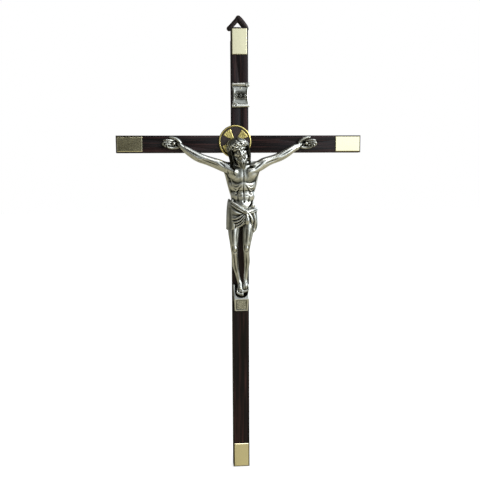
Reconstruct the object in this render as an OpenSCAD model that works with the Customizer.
// Wall crucifix: half-lapped wooden bars with plated ends, a cast figure, halo, scroll and foot rest.
// Origin at the centre of the crossing, on the flat back. +Z is up and the front faces -Y.

/* [Wooden bars] */
// Length of the upright bar
upright_length = 350; // [300:5:420]
// Length of the cross bar
crossbar_length = 190; // [170:5:230]
// Width of both bars
bar_w = 13.2; // [12:0.2:16]
// Thickness of both bars
bar_t = 9; // [8:0.5:12]
// Distance from the top of the upright down to the centre of the crossing
crossing_drop = 87.5; // [80:0.5:110]
// Chamfer along every edge of the bars
bar_chamfer = 0.5; // [0.2:0.1:1]

/* [End plates] */
// Length of each end plate along its bar
plate_length = 19.2; // [14:0.2:24]
// Thickness of the plate metal
plate_t = 0.8; // [0.6:0.1:1.2]
// Bare wood left round each plate
plate_inset = 0.9; // [0.7:0.1:1.5]
// Width of the bright bevel round each plate
plate_bevel = 0.7; // [0.4:0.1:1]

/* [Figure] */
// Height of the cast figure, from the top of its hair to its toes
figure_h = 122; // [110:1:130]
// Radius of the nails through the figure
nail_r = 0.6; // [0.4:0.05:0.7]
// Radius of the nail heads
nail_head_r = 1.05; // [0.9:0.05:1.3]
// Depth that each nail goes into what lies behind it
nail_depth = 5; // [3:0.5:6]

/* [Halo] */
// Outer radius of the halo
halo_r = 12.6; // [11:0.1:14]
// Thickness of the halo at its rim
halo_t = 1.4; // [1.2:0.1:2]
// Thickness of the halo's floor
halo_floor_t = 0.6; // [0.4:0.1:0.8]
// Width of the raised rim
halo_rim_w = 1.3; // [0.8:0.1:1.8]
// Groove between the rim and the raised sectors
halo_groove_w = 0.9; // [0.6:0.1:1.5]
// Angle that the halo is turned clockwise
halo_turn = 5; // [0:1:20]

/* [Scroll] */
// Width of the scroll
scroll_w = 13.2; // [11:0.2:15]
// Height of the flat sheet of the scroll
scroll_h = 15.6; // [12:0.2:20]
// Thickness of the scroll's sheet
scroll_t = 0.8; // [0.6:0.1:1]
// Outer radius of the top roll at its thick right end
top_roll_r = 1.5; // [1.2:0.1:1.8]
// Outer radius of the bottom roll at its thick left end
bottom_roll_r = 1.7; // [1.4:0.1:2]
// Outer radius of both rolls at their thin ends
thin_roll_r = 1; // [0.8:0.1:1.2]

/* [Foot rest] */
// Height of the foot rest
rest_h = 21; // [19:0.5:24]
// Width of the foot rest at its top
rest_top_w = 12.6; // [11.5:0.1:13.5]
// Width of the foot rest at its bottom
rest_bottom_w = 10.2; // [9:0.1:11]
// Reach of the ledge from the wood
rest_reach = 8.8; // [8:0.1:10]

/* [Hanging ring] */
// Thickness of the ring metal
ring_t = 1; // [0.8:0.1:1.2]
// Height of the ring between the centres of its base bar and its apex
ring_rise = 7.9; // [7.5:0.1:10]
// Radius of the ring's round base bar
ring_pin_r = 0.7; // [0.5:0.05:0.8]
// Width of the clip along the base bar
clip_w = 4.4; // [3.5:0.1:4.6]

/* [Hidden] */

// Smoothness of true circles, and of the faceted casting
$fn = 64;
egg_sides = 16;
limb_sides = 12;
finger_sides = 8;
strand_sides = 6;

// Extra reach of every cut past the surface that it opens
overrun = 1;
// Air between a pin and its hole, and between the casting and what it sits on
pin_clear = 0.1;
seat_clear = 0.05;

front = -bar_t;
bar_top = crossing_drop;
bar_bottom = crossing_drop - upright_length;
plate_w = bar_w - 2 * plate_inset;

// Turns a share of the figure's height into a place: right, out from the wood, up
function spot(share) = [share[0] * figure_h, front - share[1] * figure_h, share[2] * figure_h];

// The halo sits behind the head
halo_centre_share = [-0.032, 0, 0.0148];
halo_centre = halo_centre_share * figure_h;

// Arms of the figure as shares of its height: right, out, up and radius
left_arm_shares = [[-0.100, 0.054, -0.139, 0.037], [-0.164, 0.046, -0.122, 0.0255],
                   [-0.250, 0.041, -0.090, 0.028], [-0.291, 0.038, -0.066, 0.025],
                   [-0.340, 0.030, -0.034, 0.020], [-0.384, 0.021, -0.005, 0.016]];
right_arm_shares = [[0.112, 0.054, -0.136, 0.037], [0.172, 0.046, -0.106, 0.026],
                    [0.250, 0.041, -0.073, 0.0285], [0.291, 0.038, -0.052, 0.0255],
                    [0.336, 0.030, -0.027, 0.0205], [0.379, 0.021, -0.002, 0.016]];
left_palm_share = [-0.416, 0.0123, 0.005];
right_palm_share = [0.420, 0.0123, 0.005];
palm_half_shares = [0.030, 0.013, 0.024];
// Each finger from the palm's centre: outwards, out from the wood and up, at its root, bend and tip
finger_shares = [[[0.021, 0.002, 0.016], [0.046, 0.014, 0.021], [0.067, 0.009, 0.018]],
                 [[0.025, 0.002, 0.007], [0.052, 0.016, 0.009], [0.075, 0.009, 0.007]],
                 [[0.024, 0.002, -0.003], [0.049, 0.015, -0.003], [0.070, 0.008, -0.004]],
                 [[0.020, 0.002, -0.012], [0.040, 0.012, -0.015], [0.057, 0.007, -0.014]],
                 [[-0.008, 0.005, 0.017], [0.012, 0.012, 0.032], [0.031, 0.014, 0.037]]];
finger_r_share = 0.0065;

// Trunk and cloth as eggs: right, out, up, then half sizes across, out and up
trunk_shares = [[0.007, 0.052, -0.190, 0.098, 0.043, 0.060], [0.008, 0.050, -0.225, 0.096, 0.043, 0.060],
                [0.009, 0.048, -0.275, 0.086, 0.039, 0.055], [0.010, 0.044, -0.340, 0.075, 0.034, 0.050],
                [0.010, 0.047, -0.400, 0.088, 0.042, 0.050]];
chest_shares = [[-0.038, 0.073, -0.190, 0.046, 0.025, 0.036], [0.056, 0.073, -0.188, 0.046, 0.025, 0.036]];
shoulder_line_shares = [[-0.095, 0.054, -0.141, 0.030], [0.006, 0.056, -0.135, 0.034],
                        [0.107, 0.054, -0.138, 0.030]];
neck_shares = [[0.004, 0.060, -0.140, 0.029], [-0.006, 0.070, -0.100, 0.026]];
rib_rows = 3;
rib_shares = [[-0.010, 0.0865, -0.232, 0.006], [-0.040, 0.083, -0.245, 0.0065],
              [-0.066, 0.066, -0.266, 0.006]];
rib_step_share = -0.026;
trunk_mid_share = 0.012;
cloth_shares = [[0.008, 0.049, -0.395, 0.092, 0.046, 0.035], [0.008, 0.052, -0.455, 0.099, 0.050, 0.045],
                [0.007, 0.051, -0.505, 0.101, 0.049, 0.040]];
belt_shares = [[-0.076, 0.064, -0.360, 0.012], [-0.050, 0.086, -0.378, 0.013],
               [-0.010, 0.099, -0.402, 0.014], [0.032, 0.103, -0.425, 0.014],
               [0.068, 0.090, -0.415, 0.012], [0.095, 0.060, -0.405, 0.012]];
knot_share = [0.036, 0.104, -0.426];
knot_half_shares = [0.022, 0.015, 0.019];
// Ends of the folds that leave the knot, and the radius of a fold at each end
fold_end_shares = [[-0.078, 0.060, -0.470], [-0.073, 0.068, -0.508], [-0.056, 0.080, -0.530],
                   [-0.028, 0.088, -0.528], [0.000, 0.090, -0.508]];
fold_r_shares = [0.008, 0.013];
tail_shares = [[[0.036, 0.105, -0.440, 0.010], [0.037, 0.106, -0.475, 0.013],
                [0.034, 0.104, -0.492, 0.013]],
               [[0.052, 0.098, -0.435, 0.009], [0.066, 0.096, -0.465, 0.010],
                [0.068, 0.092, -0.485, 0.010]],
               [[0.100, 0.052, -0.420, 0.011], [0.103, 0.053, -0.480, 0.012],
                [0.100, 0.054, -0.530, 0.010], [0.082, 0.060, -0.562, 0.006]],
               [[0.084, 0.080, -0.435, 0.009], [0.088, 0.078, -0.490, 0.011],
                [0.083, 0.070, -0.545, 0.008]]];

// Legs and feet
left_leg_shares = [[-0.040, 0.052, -0.470, 0.042], [-0.045, 0.062, -0.545, 0.037],
                   [-0.046, 0.069, -0.600, 0.030], [-0.046, 0.074, -0.655, 0.025],
                   [-0.043, 0.064, -0.700, 0.021], [-0.038, 0.050, -0.765, 0.021],
                   [-0.021, 0.046, -0.835, 0.015], [-0.008, 0.050, -0.888, 0.014]];
right_leg_shares = [[0.048, 0.052, -0.470, 0.041], [0.042, 0.062, -0.545, 0.036],
                    [0.037, 0.067, -0.600, 0.029], [0.033, 0.070, -0.655, 0.023],
                    [0.034, 0.059, -0.700, 0.020], [0.036, 0.046, -0.755, 0.020],
                    [0.030, 0.038, -0.820, 0.014], [0.027, 0.038, -0.878, 0.013]];
left_foot_shares = [[-0.008, 0.048, -0.900, 0.014], [-0.008, 0.066, -0.913, 0.014],
                    [-0.011, 0.074, -0.940, 0.013]];
right_foot_shares = [[0.025, 0.036, -0.895, 0.013], [0.022, 0.050, -0.908, 0.013],
                     [0.023, 0.055, -0.930, 0.012]];
foot_ball_half_shares = [0.023, 0.011, 0.013];
toe_count = 5;
toe_r_shares = [0.0075, 0.0062];
toe_step_share = 0.0105;
toe_drop_share = -0.021;

// Head in its own frame, as shares of the figure's height, tilted as a whole
head_share = [-0.020, 0.076, -0.034];
head_tilt = -14;
head_nod = 14;
skull_shares = [[0, -0.004, 0.016, 0.056, 0.055, 0.054], [0, 0.020, -0.020, 0.039, 0.037, 0.050]];
hair_shares = [[[-0.048, 0.006, 0.012, 0.022], [-0.055, 0.008, -0.040, 0.018],
                [-0.052, 0.006, -0.088, 0.015], [-0.062, -0.002, -0.135, 0.008]],
               [[-0.040, 0.020, 0.020, 0.018], [-0.047, 0.024, -0.030, 0.012],
                [-0.044, 0.018, -0.080, 0.010]],
               [[0.048, 0.006, 0.012, 0.022], [0.052, 0.008, -0.040, 0.017],
                [0.042, 0.004, -0.092, 0.010]],
               [[0.040, 0.020, 0.020, 0.018], [0.046, 0.024, -0.030, 0.011],
                [0.038, 0.018, -0.070, 0.009]]];
beard_shares = [[[-0.028, 0.034, -0.040, 0.012], [-0.010, 0.046, -0.078, 0.014],
                 [-0.003, 0.044, -0.122, 0.006]],
                [[0.028, 0.034, -0.040, 0.012], [0.010, 0.046, -0.078, 0.014],
                 [0.003, 0.044, -0.122, 0.006]]];
nose_shares = [[0, 0.056, -0.004, 0.005], [0, 0.063, -0.026, 0.008]];
brow_shares = [[-0.024, 0.050, 0.002, 0.007], [0, 0.056, 0.004, 0.006], [0.024, 0.050, 0.002, 0.007]];
thorn_ring_shares = [0.060, 0.060, 0.028];
thorn_wave_share = 0.006;
thorn_r_share = 0.0085;
thorn_links = 18;
thorn_waves = 6;

// Nails of the figure
hand_nail_shares = [[-0.4165, 0, 0.0035], [0.4215, 0, 0.0035]];
hand_nail_out_share = 0.026;
foot_nail_share = [-0.0075, 0, -0.915];
foot_nail_out_share = 0.083;
dome_share = 0.6;
nail_dome = nail_head_r * dome_share;

// Scroll and its pin
scroll_centre_z = 36.9;
scroll_waist = 0.8;
// Smoothness of the wide arcs of the waist
waist_fn = 180;
scroll_x = 0.6;
titulus_pin_r = 0.5;
titulus_pin_head_r = 0.95;
titulus_pin_dome = titulus_pin_head_r * dome_share;
titulus_pin_below_roll = 2.5;
titulus_pin_z = scroll_centre_z + scroll_h/2 - titulus_pin_below_roll;
titulus_pin_depth = 4;
roll_wall = 0.45;
roll_mouth = 1.2;
lozenge_side = 2;
lozenge_count = 3;
lozenge_step = 3.4;
lozenge_raise = 0.25;
scroll_rule_w = 0.35;

// Foot rest
rest_above_nail = 2;
rest_top = foot_nail_share[2] * figure_h + rest_above_nail;
rest_wall_out = 3.6;
rest_foot_out = 5.2;
rest_ledge_drop = 9.8;
rest_lip = 1;
rest_pocket_w = 10;
rest_back_t = 1.6;
rest_corner_r = 4.4;
panel_border = 0.9;
panel_depth = 0.4;

// Hanging ring, its rebate and its clip
rebate_depth = 4.6;
rebate_h = 9;
ring_pivot = [-0.9, -2, bar_top + 0.4];
ring_half_base = 6.5;
ring_corner_r = 2.2;
ring_apex_r = 2.1;
ring_apex_shift = 0.6;
left_leg_w = 3.7;
right_leg_w = 4.5;
clip_sheet_t = 0.5;
clip_shift = -0.4;
clip_clear = 0.05;
clip_nail_r = 0.45;
clip_nail_head_r = 0.8;
clip_nail_head_t = 0.4;
clip_nail_depth = 2.4;
clip_nail_drops = [3.4, 6.4];
clip_h = 8;
halo_hub_r = 3;
halo_sector_angle = 42;

// A bar along Z from low to high with its front at -t, all edges chamfered
module bar(low, high, w, t, chamfer)
{
    section = [[-w/2, -chamfer], [-w/2 + chamfer, 0], [w/2 - chamfer, 0], [w/2, -chamfer],
               [w/2, -t + chamfer], [w/2 - chamfer, -t], [-w/2 + chamfer, -t], [-w/2, -t + chamfer]];
    side = [[0, low + chamfer], [-chamfer, low], [-t + chamfer, low], [-t, low + chamfer],
            [-t, high - chamfer], [-t + chamfer, high], [-chamfer, high], [0, high - chamfer]];
    intersection() {
        translate([0, 0, low]) linear_extrude(high - low) polygon(section);
        rotate([90, 0, 90]) linear_extrude(w, center = true) polygon(side);
    }
}

// A round hole or pin that starts at a depth behind the front of the wood and comes out to a height
module pin_at(place, r, depth, out)
{
    translate([place[0], front + depth, place[2]]) rotate([90, 0, 0]) cylinder(r = r, h = depth + out);
}

module upright()
{
    color("#2a1a16") difference() {
        bar(bar_bottom, bar_top, bar_w, bar_t, bar_chamfer);
        translate([-bar_w/2 - overrun, -bar_t/2, -bar_w/2]) cube([bar_w + 2 * overrun, bar_t, bar_w]);
        translate([-bar_w/2 - overrun, -rebate_depth, bar_top - rebate_h])
            cube([bar_w + 2 * overrun, rebate_depth + overrun, rebate_h + overrun]);
        pin_at([scroll_x, 0, titulus_pin_z], titulus_pin_r + pin_clear, titulus_pin_depth, overrun);
        pin_at(spot(foot_nail_share), nail_r + pin_clear, nail_depth, overrun);
        for (drop = clip_nail_drops) clip_nail_hole(drop, clip_nail_r + clip_clear);
    }
}

module crossbar()
{
    color("#2a1a16") difference() {
        rotate([0, 90, 0]) bar(-crossbar_length/2, crossbar_length/2, bar_w, bar_t, bar_chamfer);
        translate([-bar_w/2, -bar_t - overrun, -bar_w/2 - overrun])
            cube([bar_w, bar_t/2 + overrun, bar_w + 2 * overrun]);
        for (share = hand_nail_shares) pin_at(spot(share), nail_r + pin_clear, nail_depth, overrun);
    }
}

// An end plate centred on its own middle, lying on the front of the wood
module end_plate(centre, turned)
{
    translate([centre[0], front, centre[1]]) rotate([90, turned ? 90 : 0, 0]) color("#d8c98c") hull() {
        translate([-plate_w/2, -plate_length/2, 0]) cube([plate_w, plate_length, plate_t/2]);
        translate([-plate_w/2 + plate_bevel, -plate_length/2 + plate_bevel, 0])
            cube([plate_w - 2 * plate_bevel, plate_length - 2 * plate_bevel, plate_t]);
    }
}

plate_middle = plate_inset + plate_length/2;
module end_plate_top() end_plate([0, bar_top - plate_middle], false);
module end_plate_bottom() end_plate([0, bar_bottom + plate_middle], false);
module end_plate_left() end_plate([-crossbar_length/2 + plate_middle, 0], true);
module end_plate_right() end_plate([crossbar_length/2 - plate_middle, 0], true);

// Building blocks of the casting
module ball(row, sides = limb_sides) translate(spot(row)) sphere(r = row[3] * figure_h, $fn = sides);

module egg(row, sides = egg_sides)
{
    translate(spot(row)) scale([row[3] * figure_h, row[4] * figure_h, row[5] * figure_h])
        sphere(r = 1, $fn = sides);
}

module limb(rows, sides = limb_sides)
{
    for (i = [0 : len(rows) - 2]) hull() {
        ball(rows[i], sides);
        ball(rows[i + 1], sides);
    }
}

module mass(rows)
{
    for (i = [0 : len(rows) - 2]) hull() {
        egg(rows[i]);
        egg(rows[i + 1]);
    }
}

// A hand whose fingers point along side, which is -1 for the left end and 1 for the right end
module hand(palm, side)
{
    egg(concat(palm, palm_half_shares), limb_sides);
    for (finger = finger_shares)
        limb([for (p = finger) [palm[0] + side * p[0], palm[1] + p[1], palm[2] + p[2], finger_r_share]],
             finger_sides);
}

// A foot on its rows, with a row of toes below its ball that shrink away from the big toe
module foot(rows, side)
{
    last = rows[len(rows) - 1];
    limb(rows);
    egg(concat([last[0], last[1], last[2]], foot_ball_half_shares), limb_sides);
    for (i = [0 : toe_count - 1]) {
        r = toe_r_shares[i == 0 ? 0 : 1];
        x = last[0] + side * ((toe_count - 1)/2 - i) * toe_step_share;
        drop = toe_drop_share * (1 - i / (2 * toe_count));
        limb([[x, last[1], last[2], r], [x, last[1] + r/2, last[2] + drop, r]], finger_sides);
    }
}

// The head in its own frame: its rows are given from its centre, then tilted and nodded together
module in_head()
{
    translate(spot(head_share)) rotate([head_nod, head_tilt, 0]) translate(-spot([0, 0, 0])) children();
}

// One link of the crown of thorns, which waves in and out as it goes round
function thorn_row(i) = let (turn = 360 * i / thorn_links, wave = sin(thorn_waves * turn) * thorn_wave_share)
    [(thorn_ring_shares[0] + wave) * cos(turn), (thorn_ring_shares[1] + wave) * sin(turn),
     thorn_ring_shares[2] + cos(thorn_waves * turn) * thorn_wave_share, thorn_r_share];

module head()
{
    in_head() {
        mass(skull_shares);
        for (rows = hair_shares) limb(rows);
        for (rows = beard_shares) limb(rows, finger_sides);
        limb(nose_shares, finger_sides);
        limb(brow_shares, finger_sides);
        limb([for (i = [0 : thorn_links]) thorn_row(i)], strand_sides);
    }
}

module trunk()
{
    mass(trunk_shares);
    limb(shoulder_line_shares);
    limb(neck_shares);
    for (row = chest_shares) egg(row);
    for (i = [0 : rib_rows - 1], side = [-1, 1])
        limb([for (p = rib_shares) [trunk_mid_share + side * (trunk_mid_share - p[0]), p[1] - i * p[3]/2,
                                    p[2] + i * rib_step_share, p[3]]], strand_sides);
}

module loincloth()
{
    mass(cloth_shares);
    limb(belt_shares, finger_sides);
    egg(concat(knot_share, knot_half_shares), limb_sides);
    for (end = fold_end_shares)
        limb([concat(knot_share, fold_r_shares[0]), concat(end, fold_r_shares[1])], finger_sides);
    for (rows = tail_shares) limb(rows, finger_sides);
}

module legs_and_feet()
{
    limb(left_leg_shares);
    limb(right_leg_shares);
    foot(left_foot_shares, 1);
    foot(right_foot_shares, -1);
}

module corpus()
{
    color("#a8a69c") difference() {
        union() {
            trunk();
            loincloth();
            head();
            limb(left_arm_shares);
            limb(right_arm_shares);
            hand(left_palm_share, -1);
            hand(right_palm_share, 1);
            legs_and_feet();
        }
        // The flat back of the casting lies on the wood
        translate([-figure_h, front, -2 * figure_h]) cube([2 * figure_h, figure_h, 3 * figure_h]);
        // Room for the halo, the foot rest and the nails
        translate([halo_centre[0], front + overrun, halo_centre[2]]) rotate([90, 0, 0])
            cylinder(r = halo_r + seat_clear, h = halo_t + seat_clear + overrun);
        rest_solid(seat_clear);
        for (share = hand_nail_shares) pin_at(spot(share), nail_r + pin_clear, overrun, figure_h);
        pin_at(spot(foot_nail_share), nail_r + pin_clear, overrun, figure_h);
        for (share = hand_nail_shares) head_room(spot(share), hand_nail_out_share * figure_h);
        head_room(spot(foot_nail_share), foot_nail_out_share * figure_h);
    }
}

// Flat seat for a nail head at a height above the wood
module head_room(place, out)
{
    translate([place[0], front - out, place[2]]) rotate([90, 0, 0])
        cylinder(r = nail_head_r + pin_clear, h = nail_head_r * 2);
}

// A nail with a domed head whose underside is at out above the wood
module nail(place, r, head_r, dome, depth, out)
{
    pin_at(place, r, depth, out);
    translate([place[0], front - out, place[2]]) rotate([90, 0, 0]) rotate_extrude()
        dome_profile(head_r, dome);
}

module dome_profile(head_r, dome)
{
    ball_r = (head_r * head_r + dome * dome) / (2 * dome);
    intersection() {
        translate([0, dome - ball_r]) circle(r = ball_r);
        square([head_r, dome]);
    }
}

module hand_nail(share)
{
    color("#b8b6ac")
        nail(spot(share), nail_r, nail_head_r, nail_dome, nail_depth, hand_nail_out_share * figure_h);
}

module hand_nail_left() hand_nail(hand_nail_shares[0]);
module hand_nail_right() hand_nail(hand_nail_shares[1]);
module foot_nail()
{
    color("#b8b6ac")
        nail(spot(foot_nail_share), nail_r, nail_head_r, nail_dome, nail_depth,
             foot_nail_out_share * figure_h);
}

// Lays children drawn in the XY plane and extruded along Z flat on the wood, out towards the viewer
module on_wood(centre, turn = 0)
{
    translate([centre[0], front, centre[2]]) rotate([90, turn, 0]) children();
}

// The four raised sectors of the halo between two heights, grown by a clearance on every side
module sectors(low, high)
{
    outer = halo_r - halo_rim_w - halo_groove_w;
    for (quarter = [0 : 3]) translate([0, 0, low]) rotate(90 * quarter + 45 - halo_sector_angle/2)
        rotate_extrude(angle = halo_sector_angle)
            translate([halo_hub_r, 0]) square([outer - halo_hub_r, high - low]);
}

module halo()
{
    color("#c9b45c") on_wood(halo_centre, halo_turn) {
        cylinder(r = halo_r, h = halo_floor_t);
        difference() {
            cylinder(r = halo_r, h = halo_t);
            translate([0, 0, -overrun]) cylinder(r = halo_r - halo_rim_w, h = halo_t + 2 * overrun);
        }
        sectors(halo_floor_t/2, halo_t - halo_floor_t/3);
    }
}

module halo_enamel()
{
    color("#2b1d18") on_wood(halo_centre, halo_turn) difference() {
        translate([0, 0, halo_floor_t]) cylinder(r = halo_r - halo_rim_w, h = (halo_t - halo_floor_t)/2);
        sectors(halo_floor_t/2, halo_t);
    }
}

// The foot rest's outer body, grown by a clearance, without its pocket
module rest_solid(grow = 0)
{
    bottom = rest_top - rest_h - grow;
    top = rest_top + grow;
    ledge = rest_top - rest_ledge_drop;
    back = front + overrun * sign(grow);
    nose = front - rest_reach - grow;
    difference() {
        intersection() {
            rotate([90, 0, 90]) linear_extrude(rest_top_w + 2 * grow, center = true)
                polygon([[back, bottom], [front - rest_foot_out - grow, bottom], [nose, ledge - rest_lip],
                         [nose + rest_lip/2, ledge + grow], [front - rest_wall_out - grow, top], [back, top]]);
            translate([0, front + overrun, 0]) rotate([90, 0, 0]) linear_extrude(rest_reach + 2 * overrun)
                polygon([[-rest_bottom_w/2 - grow, bottom], [rest_bottom_w/2 + grow, bottom],
                         [rest_top_w/2 + grow, top], [-rest_top_w/2 - grow, top]]);
        }
        // Pocket for the feet, with round lower corners
        translate([0, front - rest_back_t - grow, 0]) rotate([90, 0, 0]) linear_extrude(rest_reach) {
            half = rest_pocket_w/2 - grow;
            r = rest_corner_r;
            translate([-half, ledge + r + grow]) square([2 * half, rest_ledge_drop]);
            translate([-half + r, ledge + grow]) square([2 * (half - r), rest_ledge_drop]);
            for (side = [-1, 1]) translate([side * (half - r), ledge + r + grow]) circle(r = r);
        }
    }
}

module foot_rest()
{
    bottom = rest_top - rest_h;
    ledge = rest_top - rest_ledge_drop;
    panel_top = ledge - rest_lip - panel_border;
    panel_bottom = bottom + panel_border;
    slope = (rest_reach - rest_foot_out) / (ledge - rest_lip - bottom);
    panel_out = rest_foot_out + slope * panel_border - panel_depth;
    panel_top_out = rest_reach - slope * panel_border - panel_depth;
    color("#9c9a90") difference() {
        rest_solid();
        rotate([90, 0, 90]) linear_extrude(rest_bottom_w - 2 * panel_border, center = true)
            polygon([[front - panel_out, panel_bottom], [front - panel_top_out, panel_top],
                     [front - rest_reach - overrun, panel_top], [front - rest_reach - overrun, panel_bottom]]);
        pin_at(spot(foot_nail_share), nail_r + pin_clear, overrun, rest_reach);
    }
}

// A tapered roll of the scroll: a tube along X whose thick end touches the wood
module roll(left_r, right_r, z)
{
    translate([scroll_x - scroll_w/2, front - max(left_r, right_r), z]) rotate([0, 90, 0]) difference() {
        cylinder(r1 = left_r, r2 = right_r, h = scroll_w);
        translate([0, 0, -overrun])
            cylinder(r = min(left_r, right_r) - roll_wall, h = scroll_w + 2 * overrun);
        thick_end = left_r > right_r ? -overrun : scroll_w - roll_mouth;
        translate([0, 0, thick_end])
            cylinder(r = max(left_r, right_r) - roll_wall, h = roll_mouth + overrun);
    }
}

module titulus_scroll()
{
    side_r = (scroll_h * scroll_h / 4 + scroll_waist * scroll_waist) / (2 * scroll_waist);
    side_x = scroll_w/2 - scroll_waist + side_r;
    lozenge_z = scroll_centre_z - lozenge_raise;
    lozenges_w = lozenge_count * lozenge_step;
    color("#b4b2a6") difference() {
        union() {
            difference() {
                translate([scroll_x - scroll_w/2, front - scroll_t, scroll_centre_z - scroll_h/2])
                    cube([scroll_w, scroll_t, scroll_h]);
                for (side = [-1, 1])
                    translate([scroll_x + side * side_x, front + overrun, scroll_centre_z]) rotate([90, 0, 0])
                        cylinder(r = side_r, h = scroll_t + 2 * overrun, $fn = waist_fn);
            }
            roll(thin_roll_r, top_roll_r, scroll_centre_z + scroll_h/2 + thin_roll_r - scroll_t);
            roll(bottom_roll_r, thin_roll_r, scroll_centre_z - scroll_h/2 - thin_roll_r + scroll_t);
            for (i = [0 : lozenge_count - 1])
                translate([scroll_x + (i - (lozenge_count - 1)/2) * lozenge_step, front, lozenge_z])
                    rotate([90, 45, 0]) translate([-lozenge_side/2, -lozenge_side/2, 0])
                        cube([lozenge_side, lozenge_side, scroll_t + lozenge_raise]);
            for (side = [-1, 1])
                translate([scroll_x - lozenges_w/2, front - scroll_t - lozenge_raise,
                           lozenge_z + side * lozenge_side - scroll_rule_w/2])
                    cube([lozenges_w, lozenge_raise + scroll_t/2, scroll_rule_w]);
        }
        pin_at([scroll_x, 0, titulus_pin_z], titulus_pin_r + pin_clear, overrun, figure_h);
    }
}

module titulus_pin()
{
    color("#c4c2b6") nail([scroll_x, 0, titulus_pin_z], titulus_pin_r, titulus_pin_head_r,
                          titulus_pin_dome, titulus_pin_depth, scroll_t);
}

// A flat leg of the ring between two places in the XZ plane, as wide as w
module ring_leg(from, to, w)
{
    span = to - from;
    translate([from[0], ring_pivot[1] + ring_t/2, from[1]]) rotate([90, -atan2(span[1], span[0]), 0])
        translate([0, -w/2, 0]) cube([norm(span), w, ring_t]);
}

module ring_disc(place, r)
{
    translate([place[0], ring_pivot[1] + ring_t/2, place[1]]) rotate([90, 0, 0])
        cylinder(r = r, h = ring_t);
}

module hanging_ring()
{
    left = [ring_pivot[0] - ring_half_base, ring_pivot[2]];
    right = [ring_pivot[0] + ring_half_base, ring_pivot[2]];
    apex = [ring_pivot[0] + ring_apex_shift, ring_pivot[2] + ring_rise];
    color("#2c2320") union() {
        ring_leg(left, apex, left_leg_w);
        ring_leg(right, apex, right_leg_w);
        ring_disc(left, ring_corner_r);
        ring_disc(right, ring_corner_r);
        ring_disc(apex, ring_apex_r);
        translate([left[0], ring_pivot[1], ring_pivot[2]]) rotate([0, 90, 0])
            cylinder(r = ring_pin_r, h = 2 * ring_half_base);
    }
}

module clip_nail_hole(drop, r)
{
    translate([ring_pivot[0] + clip_shift, -rebate_depth - clip_nail_depth, ring_pivot[2] - drop])
        rotate([-90, 0, 0]) cylinder(r = r, h = clip_nail_depth + 2 * clip_sheet_t);
}

module ring_clip()
{
    bore_r = ring_pin_r + clip_clear;
    knuckle_r = bore_r + clip_sheet_t;
    left = ring_pivot[0] + clip_shift - clip_w/2;
    color("#6e675c") difference() {
        union() {
            translate([left, ring_pivot[1], ring_pivot[2]]) rotate([0, 90, 0])
                cylinder(r = knuckle_r, h = clip_w);
            translate([left, -rebate_depth, ring_pivot[2] - clip_h])
                cube([clip_w, 2 * clip_sheet_t, clip_h]);
            translate([left, -rebate_depth, ring_pivot[2] - knuckle_r])
                cube([clip_w, rebate_depth + ring_pivot[1], knuckle_r]);
        }
        translate([left - overrun, ring_pivot[1], ring_pivot[2]]) rotate([0, 90, 0])
            cylinder(r = bore_r, h = clip_w + 2 * overrun);
        for (drop = clip_nail_drops) clip_nail_hole(drop, clip_nail_r + clip_clear);
    }
}

module clip_nails()
{
    for (drop = clip_nail_drops) color("#8c857a") {
        clip_nail_hole(drop, clip_nail_r);
        translate([ring_pivot[0] + clip_shift, -rebate_depth + 2 * clip_sheet_t, ring_pivot[2] - drop])
            rotate([-90, 0, 0]) cylinder(r = clip_nail_head_r, h = clip_nail_head_t);
    }
}

upright();
crossbar();
end_plate_top();
end_plate_bottom();
end_plate_left();
end_plate_right();
corpus();
hand_nail_left();
hand_nail_right();
foot_nail();
halo();
halo_enamel();
foot_rest();
titulus_scroll();
titulus_pin();
hanging_ring();
ring_clip();
clip_nails();
